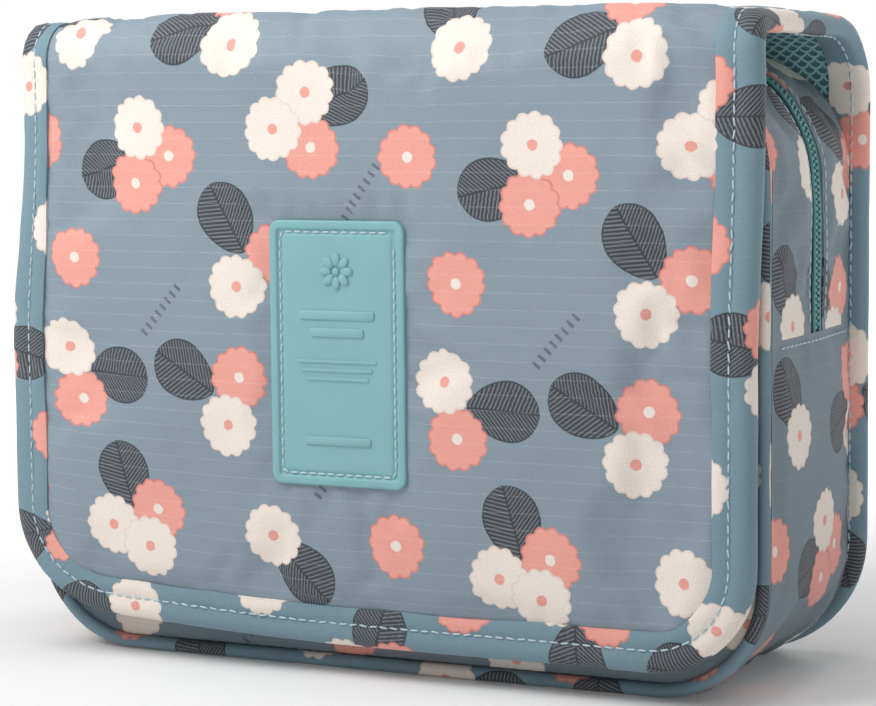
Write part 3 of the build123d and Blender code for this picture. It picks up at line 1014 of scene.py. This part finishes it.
def gusset_band(name, run, y_range, columns, material, thickness=GUSSET_T, base=0.0,
                print_shift=(0.0, 0.0)):
    """A band of cloth round part of the body, swelling as one with the whole gusset."""
    start, end = run
    count = int((end - start) / 3.5)

    def place(i, j):
        t = start + (end - start) * i / count
        y = y_range[0] + (y_range[1] - y_range[0]) * j / columns
        inset = base + soft_inset(t, y)
        x, z, _, _ = body_outline(t, inset)
        in_x, in_z, _, _ = body_outline(t, inset + thickness)
        return (x, y, max(z, 0.0)), (in_x, y, in_z), (y + print_shift[0], t + print_shift[1])

    build = Build()
    build.layers(count, columns, place)
    piece = build.make(name, [material])
    if material is GUSSET_PAINTED_SHADE_MAT:
        fill_out(piece, count, columns, 2.0, 1.3)
    return piece


def band_stitches(name, run, y):
    """Stitches along the gusset at one depth."""
    points, outs = [], []
    count = int((run[1] - run[0]) / 3.0)
    for i in range(count + 1):
        t = run[0] + (run[1] - run[0]) * i / count
        x, z, out_x, out_z = body_outline(t, soft_inset(t, y) - STITCH_LIFT)
        points.append((x, y, z))
        outs.append((out_x, 0.0, out_z))
    return stitches(name, points, outs)


def piping(name, run, print_shift):
    """The covered cord round the front edge of the body."""
    build = Build()
    rings, marks = [], []
    count = int((run[1] - run[0]) / 2.5)
    sides = 14
    for i in range(count + 1):
        t = run[0] + (run[1] - run[0]) * i / count
        x, z, out_x, out_z = body_outline(t, pipe_r - 0.15)
        radius = pipe_r * (1 + 0.05 * ripple(t, 0.0, 2.0, 9.0))
        ring, row = [], []
        for k in range(sides):
            a = 2 * math.pi * k / sides
            out = radius * math.cos(a)
            ring.append((x + out_x * out, pipe_y + radius * math.sin(a), max(z + out_z * out, 0.0)))
            row.append((radius * a + print_shift[0], t + print_shift[1]))
        rings.append(ring)
        marks.append(row)
    build.sweep(rings, marks)
    return build.make(name, [BINDING_MAT])


def face_panel(name, low, high, y, thickness, inset, material, swell):
    """The front or back face of the body or lining between two heights, a little swollen."""
    rows_count = max(int((high - low) / 4), 6)
    radius = BODY_CORNER - inset

    def place(i, j):
        z = low + (high - low) * i / rows_count
        depth = max(BODY_CORNER - z, z - body_top + BODY_CORNER)
        half = body_half - inset
        if depth > 0:
            half = RUN_FLAT + math.sqrt(max(radius * radius - depth * depth, 0.0))
        x = half * (2 * j / FACE_COLUMNS - 1)
        edge = min(half - abs(x), z - inset, body_top - inset - z)
        puff = swell * (1 - math.exp(-max(edge, 0.0) / 14.0))
        puff += 0.3 * swell * ripple(x, z, y, 22.0) * smooth(edge, 0, 10)
        puff *= smooth(z, 36, 70)
        return (x, y - puff, z), (x, y - puff * 0.5 + thickness, z), (x + 40.0, z + 60.0)

    build = Build()
    build.layers(rows_count, FACE_COLUMNS, place)
    piece = build.make(name, [material])
    return piece


FULL_SPAN = (pipe_y + pipe_r, seam_y)
LOWER_RUN = (-RUN_SPLIT, RUN_SPLIT)
UPPER_RUN = (RUN_SPLIT, RUN_ROUND - RUN_SPLIT)


def body_cloth():
    """Gusset, front face and piping, split where the lid tips."""
    front_y = pipe_y + pipe_r - 0.6
    back_edge = seam_y - 0.2
    face_y = corners("front_lower_panel")[0][1]
    face_inset = 2 * pipe_r
    bands = (
        ("lower_gusset_cloth", LOWER_RUN, (front_y, back_edge), 26, (43.0, 3.7), "lower_gusset"),
        ("rear_gusset_cloth", UPPER_RUN, (zip_y + ZIP_OPEN, back_edge), 14, (60.0, -133.8),
         "rear_upper_gusset"),
        ("lid_gusset_cloth", UPPER_RUN, (front_y, zip_y - ZIP_OPEN), 12, (45.0, -26.8), "lid_gusset"))
    for name, run, y_range, columns, shift, node in bands:
        band = gusset_band(name, run, y_range, columns, GUSSET_PAINTED_SHADE_MAT, print_shift=shift)
        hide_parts(node)
        body_or_lid(band, node == "lid_gusset")
    faces = (("front_lower_cloth", face_inset, split_z, "front_lower_panel"),
             ("lid_front_cloth", split_z, body_top - face_inset, "lid_front_panel"))
    for name, low, high, node in faces:
        face = face_panel(name, low, high, face_y, 2.4, face_inset - 0.6, GUSSET_PAINTED_SHADE_MAT, 1.2)
        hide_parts(node)
        body_or_lid(face, node == "lid_front_panel")
    for name, run, node in (("lower_piping_cloth", LOWER_RUN, "lower_piping"),
                            ("lid_piping_cloth", UPPER_RUN, "lid_piping")):
        cord = piping(name, run, (30.0, 12.0))
        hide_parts(node)
        body_or_lid(cord, node == "lid_piping")


def body_or_lid(piece, on_lid):
    """Makes a piece ride on the body, or bakes its placement into its vertices and leaves it free."""
    if on_lid:
        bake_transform(piece)
    else:
        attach(piece, "root")


def seam_lines():
    """Topstitching beside the zip and across the gusset's side seams."""
    margin = 1.6
    rear = band_stitches("zip_rear_stitches", UPPER_RUN, zip_y + ZIP_OPEN + margin)
    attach(rear, "root")
    front = band_stitches("zip_front_stitches", UPPER_RUN, zip_y - ZIP_OPEN - margin)
    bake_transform(front)
    for side, name in ((1, "right_seam_stitches"), (-1, "left_seam_stitches")):
        points, outs = [], []
        t = RUN_SPLIT - 2.2
        for i in range(25):
            y = FULL_SPAN[0] + 2 + (FULL_SPAN[1] - FULL_SPAN[0] - 4) * i / 24
            x, z, out_x, out_z = body_outline(t, soft_inset(t, y) - STITCH_LIFT)
            points.append((side * x, y, z))
            outs.append((side * out_x, 0.0, out_z))
        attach(stitches(name, points, outs), "root")


def zip_half(name, side, run):
    """One zip tape with its row of coil teeth. side is +1 behind the zip's middle, -1 in front."""
    edge = zip_y + side * (ZIP_OPEN + 1.5)
    inner = zip_y + side * 0.5
    y_range = (min(edge, inner), max(edge, inner))
    tape = gusset_band(name + "_tape_cloth", run, y_range, 5, ZIP_MAT, 0.6, 0.75)
    build = Build()
    pitch = 1.75
    count = int((run[1] - run[0]) / pitch) - 1
    for i in range(count):
        t = run[0] + pitch * (i + 1 + (0.25 if side > 0 else -0.25))
        inset = soft_inset(t, zip_y) + 0.35
        x, z, out_x, out_z = body_outline(t, inset)
        out = Vector((out_x, 0.0, out_z))
        run_way = Vector((-out_z, 0.0, out_x))
        a = Vector((x, zip_y + side * 2.5, z))
        b = Vector((x, zip_y + side * 0.05, z)) + out * 0.1
        build.rod(a, b, run_way, out, 0.62)
    teeth = build.make(name + "_coil_teeth", [COIL_MAT])
    rings, sides = [], 8
    steps = int((run[1] - run[0]) / 3.0)
    cord = Build()
    for i in range(steps + 1):
        t = run[0] + (run[1] - run[0]) * i / steps
        x, z, out_x, out_z = body_outline(t, soft_inset(t, zip_y) + 0.2)
        ring = []
        for k in range(sides):
            a = 2 * math.pi * k / sides
            out = 0.55 * math.cos(a)
            ring.append((x + out_x * out, zip_y + side * 2.5 + 0.5 * math.sin(a), z + out_z * out))
        rings.append(ring)
    cord.sweep(rings)
    rib = cord.make(name + "_coil_cord", [COIL_MAT])
    return tape, teeth, rib


def main_zip():
    """Both halves of the zip over the top."""
    for name, side, node in (("zip_rear", 1, "rear_zip"), ("zip_front", -1, "lid_zip")):
        for piece in zip_half(name, side, UPPER_RUN):
            is_tape = "tape" in piece.name
            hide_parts(node + ("_tape" if is_tape else "_coil"))
            body_or_lid(piece, side < 0)


def line_band(name, run, y_range, columns):
    """Lining round part of the gusset's inside."""
    band = gusset_band(name, run, y_range, columns, LINING_MAT, LINING_T, GUSSET_T + 1.4)
    body_or_lid(band, name.startswith("lid"))


def line_face(name, z_range, y, swell):
    """Lining of an upright wall between two heights."""
    low, high = z_range
    face = face_panel(name, low, high, y, LINING_T, LINING_INSET, LINING_MAT, swell)
    body_or_lid(face, name.startswith("lid"))
    return face


def linings():
    """The lining of the body and of the lid, with loose folds."""
    low = 4.5
    high = body_top - 4.5
    front_y = pipe_y + pipe_r + 1
    face_y = pipe_y + pipe_r + 1.2
    back_edge = seam_y - 1
    zip_back = zip_y + ZIP_OPEN + 2
    zip_front = zip_y - ZIP_OPEN - 2
    line_band("body_lining_side", LOWER_RUN, (front_y, back_edge), 20)
    line_band("body_lining_arch", UPPER_RUN, (zip_back, back_edge), 10)
    back = line_face("body_lining_back", (low, high), seam_y - 1.2, 0.8)
    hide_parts("body_lining")
    line_face("body_lining_front", (low, split_z), face_y, 0.3)
    line_band("lid_lining_arch", UPPER_RUN, (front_y, zip_front), 8)
    lid_front = line_face("lid_lining_front", (split_z, high), face_y, 0.3)
    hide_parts("lid_lining")


# ---------------------------------------------------------------- the rubber patch

def rounded_box(width, height, radius, steps=8):
    """Points round a rounded rectangle about (0, 0)."""
    points = []
    for quarter, (sx, sz) in enumerate(((1, 1), (-1, 1), (-1, -1), (1, -1))):
        for i in range(steps + 1):
            a = math.pi / 2 * (quarter + i / steps)
            points.append((sx * (width / 2 - radius) + radius * math.cos(a),
                           sz * (height / 2 - radius) + radius * math.sin(a)))
    return points


def label_patch():
    """Rubber patch: rim, stitching groove, a plain flower emblem and plain raised bars."""
    mid_x = (label_low[0] + label_high[0]) / 2
    mid_z = (label_low[2] + label_high[2]) / 2
    width = label_high[0] - label_low[0]
    height = label_high[2] - label_low[2]
    y = sheet_point(mid_x, mid_z - cover_edge_z, 3.0)[1] + 0.7
    build = Build()
    # inset from the edge, and height over the cloth
    profile = [(0.3, -0.6), (0.0, -0.2), (0.0, 1.45), (0.2, 1.75), (0.6, 1.85), (2.0, 1.85), (2.3, 1.75),
               (2.5, 1.35), (2.7, 1.1), (3.9, 1.1), (4.15, 1.35), (4.5, 1.42), (6.0, 1.42)]
    rings = []
    for inset, lift in profile:
        loop = rounded_box(width - 2 * inset, height - 2 * inset, max(3.2 - inset, 1.0))
        rings.append([(mid_x + px, y - lift, mid_z + pz) for px, pz in loop])
    grid = build.rows(rings, closed=True)
    build.cap(grid[0])
    build.cap(grid[-1][::-1])
    face_y = y - 1.42

    def bar(cx, cz, bar_w, bar_h, lift=0.45):
        loops = []
        for inset, up in ((0.0, -0.2), (0.0, lift * 0.7), (0.18, lift)):
            loop = rounded_box(bar_w - 2 * inset, bar_h - 2 * inset, min(bar_h, bar_w) * 0.3, 3)
            loops.append([(cx + px, face_y - up, cz + pz) for px, pz in loop])
        build.sweep(loops)

    emblem_z = mid_z + 0.31 * height
    petals = 8
    petal_at, petal_long, petal_wide = 3.4, 1.9, 1.25
    for i in range(petals):
        a = 2 * math.pi * i / petals
        loops = []
        for grow, up in ((1.0, -0.2), (1.0, 0.35), (0.7, 0.6)):
            loop = []
            for k in range(16):
                b = k * math.pi / 8
                px = petal_at + petal_long * grow * math.cos(b)
                pz = petal_wide * grow * math.sin(b)
                loop.append((mid_x + px * math.cos(a) - pz * math.sin(a), face_y - up,
                             emblem_z + px * math.sin(a) + pz * math.cos(a)))
            loops.append(loop)
        build.sweep(loops)
    dot = []
    for grow, up in ((1.0, -0.2), (1.0, 0.4), (0.6, 0.7)):
        dot.append([(mid_x + 1.1 * grow * math.cos(k * math.pi / 8), face_y - up,
                     emblem_z + 1.1 * grow * math.sin(k * math.pi / 8)) for k in range(16)])
    build.sweep(dot)
    for z_part, length in ((0.145, 24.0), (0.08, 17.0)):
        bar(mid_x, mid_z + z_part * height, length, 2.6)
    for row in range(3):
        bar(mid_x, mid_z + (-0.03 - 0.033 * row) * height, 25.0 - 2.5 * row, 1.0, 0.3)
    bar(mid_x, mid_z - 0.33 * height, 21.0, 2.4)
    patch = build.make("rubber_patch", [RUBBER_MAT])
    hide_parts("label_patch")
    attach(patch, "cover")
    loop = rounded_box(width - 2 * 3.3, height - 2 * 3.3, 1.0, 4)
    loop.append(loop[0])
    points = []
    for (x0, z0), (x1, z1) in zip(loop, loop[1:]):
        pieces = max(int(math.dist((x0, z0), (x1, z1)) / 3), 1)
        for k in range(pieces):
            t = k / pieces
            points.append((mid_x + x0 + (x1 - x0) * t, y - 1.2, mid_z + z0 + (z1 - z0) * t))
    points.append(points[0])
    line = stitches("patch_stitches", points, [(0, -1, 0)] * len(points), 3.0, 0.74, 0.33, 0.08)
    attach(line, "cover")


# ---------------------------------------------------------------- flat inner pieces

def flat_cloth(name, node, material):
    """A thin upright sheet in place of a flat node, gently waved."""
    low, high = corners(node)
    columns, rows_count = 60, 30
    wide, thick, tall = (b - a for a, b in zip(low, high))

    def place(i, j):
        z = low[2] + tall * i / rows_count
        x = low[0] + wide * j / columns
        edge = min(x - low[0], high[0] - x, z - low[2], high[2] - z)
        wave = 0.35 * ripple(x, z, 2.0, 26.0) * smooth(edge, 0, 12)
        return (x, low[1] + wave, z), (x, low[1] + wave + thick, z), (x, z)

    build = Build()
    build.layers(rows_count, columns, place)
    piece = build.make(name, [material])
    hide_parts(node)
    return piece, wide * MM, tall * MM


def inner_cloths():
    """The mesh pocket on the cover and the slip pocket on the back wall."""
    pocket, width, height = flat_cloth("mesh_pocket_cloth", "pocket_mesh", NET_MAT)
    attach(pocket, "cover")
    slip, width, height = flat_cloth("slip_pocket_cloth", "slip_pocket", LINING_MAT)
    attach(slip, "root")


def dress_nodes():
    """Materials and softened edges for the nodes that keep their CAD shape."""
    looks = {
        "base_board": (BOARD_MAT, 0.3), "zip_end_tabs": (WEB_MAT, 0.25),
        "slip_pocket_elastic": (ELASTIC_MAT, 0.3), "closure_loop_strips": (PILE_MAT, 0.3),
        "closure_hook_strips": (PILE_MAT, 0.3), "pocket_border": (ELASTIC_MAT, 0.3),
        "pocket_zip_tape": (WEB_MAT, 0.1), "pocket_zip_coil": (COIL_MAT, 0.3),
        "hook_tab": (WEB_MAT, 0.4), "hook_pin": (HOOK_MAT, 0.25), "hanging_hook": (HOOK_MAT, 0.9),
        "main_zip_slider": (METAL_MAT, 0.25), "main_zip_pull": (METAL_MAT, 0.25),
        "pocket_zip_slider": (METAL_MAT, 0.2), "pocket_zip_pull": (WEB_MAT, 0.2)}
    for node, (material, radius) in looks.items():
        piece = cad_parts[node]
        piece.data.materials.clear()
        piece.data.materials.append(material)
        soften = piece.modifiers.new("soften", "BEVEL")
        soften.width = radius * MM
        soften.segments = 2
        soften.limit_method = "ANGLE"


# ---------------------------------------------------------------- camera, floor and light

def camera():
    """A long lens, to the bag's right and a little above its middle."""
    made = bpy.data.cameras.new("camera")
    made.sensor_width = 36.0
    made.lens = 109.6
    made.clip_start = 0.01
    holder = bpy.data.objects.new("camera", made)
    place = Matrix.Translation((0.3475, -0.7140, 0.1686))
    turn = Matrix.Rotation(math.radians(25.73), 4, "Z")
    tilt = Matrix.Rotation(math.radians(90 - 5.64), 4, "X")
    roll = Matrix.Rotation(math.radians(-0.545), 4, "Z")
    holder.matrix_world = place @ turn @ tilt @ roll
    bpy.context.scene.collection.objects.link(holder)
    bpy.context.scene.camera = holder


def area_light(name, place, target, size, power):
    """A soft square light aimed at a point."""
    lamp = bpy.data.lights.new(name, "AREA")
    lamp.shape = "SQUARE"
    lamp.size = size
    lamp.energy = power
    holder = bpy.data.objects.new(name, lamp)
    holder.location = place
    aim = Vector(target) - Vector(place)
    holder.rotation_euler = aim.to_track_quat("-Z", "Y").to_euler()
    bpy.context.scene.collection.objects.link(holder)


def studio():
    """A pale floor and soft light from the front left and above."""
    build = Build()
    size = 3000.0
    grid = [[(-size, -size, -0.4), (size, -size, -0.4)], [(-size, size, -0.4), (size, size, -0.4)]]
    build.rows(grid)
    material, net, shader, place = new_material("pale_floor", 0.9, on_object=True)
    shader.inputs["Base Color"].default_value = (0.8, 0.8, 0.8, 1)
    shader.inputs["Emission Color"].default_value = (1, 1, 1, 1)
    reach = net.vector("LENGTH", place)
    far = net.math("MULTIPLY_ADD", net.minus(reach, 180.0), 0.0022, 0.0, clamp=True)
    net.put(shader.inputs["Emission Strength"], net.math("MULTIPLY_ADD", far, 0.76, 0.06))
    floor = build.make("floor", [material])
    world = bpy.data.worlds.new("soft_light")
    world.use_nodes = True
    sky = world.node_tree.nodes["Background"]
    sky.inputs[0].default_value = (1.0, 1.0, 1.0, 1)
    sky_net = Net(world.node_tree)
    seen = sky_net.node("ShaderNodeLightPath").outputs["Is Camera Ray"]
    sky_net.put(sky.inputs[1], sky_net.math("MULTIPLY_ADD", seen, 1.0 - SKY_LIGHT, SKY_LIGHT))
    bpy.context.scene.world = world
    middle = (0, 0, 0.1)
    area_light("key", (-0.32, -0.44, 0.62), (-0.05, 0, 0.13), 0.35, 3.4)
    area_light("top", (-0.1, -0.2, 1.3), middle, 0.9, 7)
    area_light("rim", (0.5, 1.1, 0.8), middle, 0.7, 5)
    bpy.context.scene.view_settings.view_transform = "Standard"
    bpy.context.scene.view_settings.look = "None"


camera()
studio()
padded_sheet()
body_cloth()
seam_lines()
main_zip()
linings()
label_patch()
inner_cloths()
dress_nodes()
